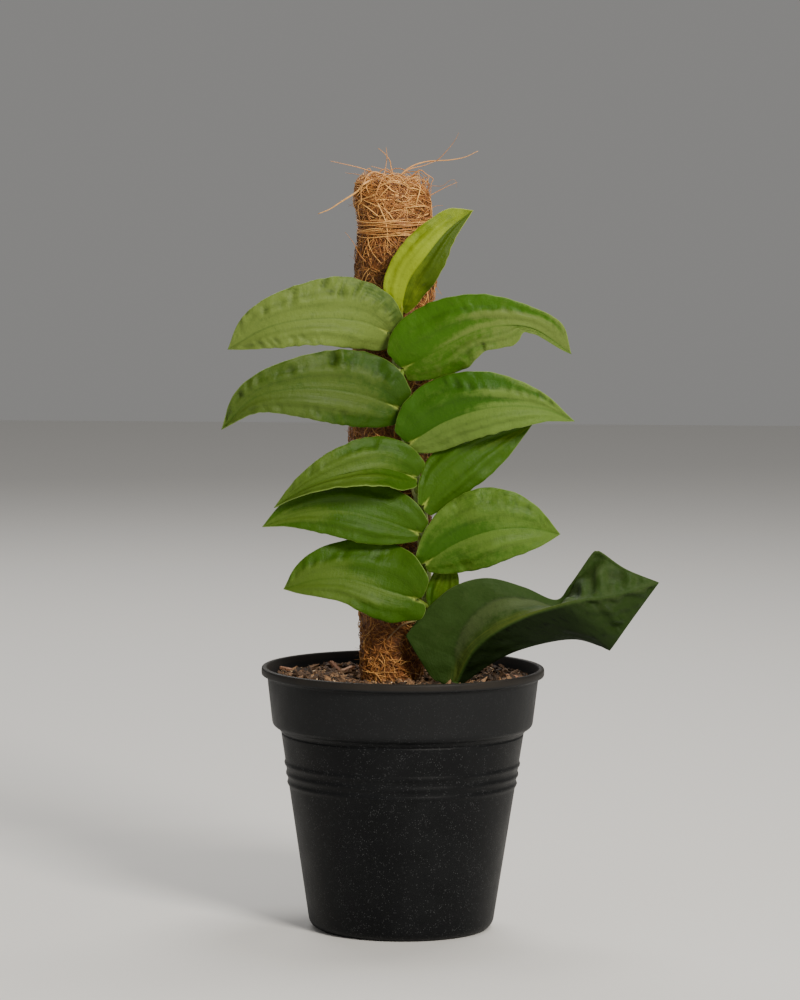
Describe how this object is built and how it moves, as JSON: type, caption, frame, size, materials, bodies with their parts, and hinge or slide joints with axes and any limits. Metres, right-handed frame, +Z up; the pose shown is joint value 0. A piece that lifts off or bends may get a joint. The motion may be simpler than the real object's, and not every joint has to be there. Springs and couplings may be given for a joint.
{
  "type": "potted rhaphidophora korthalsii",
  "caption": "Young shingling aroid with overlapping oval leaves, climbing a short coir pole in a round black nursery pot filled with potting mix.",
  "frame": {"origin": "centre of the pot's flat underside, on the surface that it stands on", "axes": "+Z up along the pole, the leaves face -Y, +X to the right seen from the front"},
  "size_m": [0.1837, 0.12, 0.3311],
  "materials": {
    "pot_plastic": "matt charcoal black, fine grained",
    "potting_mix": "loose crumbs with pale grit and bark chips",
    "stake_wood": "sawn and turned wood",
    "coir": "matted coconut fibre",
    "binding_fibre": "wound thread",
    "stem_green": "smooth living stem",
    "leaf_green": "satin leaf with fine veins",
    "leaf_young": "satin young leaf",
    "leaf_dark": "satin old leaf"
  },
  "bodies": {
    "root": {"pot": "pot_plastic", "soil": "potting_mix", "pole_core": "stake_wood", "coir_sleeve": "coir", "binding": "binding_fibre", "stem": "stem_green", "leaf_left_1": "leaf_green", "leaf_left_2": "leaf_green", "leaf_left_3": "leaf_green", "leaf_left_4": "leaf_green", "leaf_left_5": "leaf_green", "leaf_top": "leaf_young", "leaf_right_1": "leaf_green", "leaf_right_2": "leaf_green", "leaf_right_3": "leaf_green", "leaf_right_4": "leaf_green", "leaf_small_low": "leaf_green", "leaf_big_dark": "leaf_dark"}
  },
  "joints": []
}
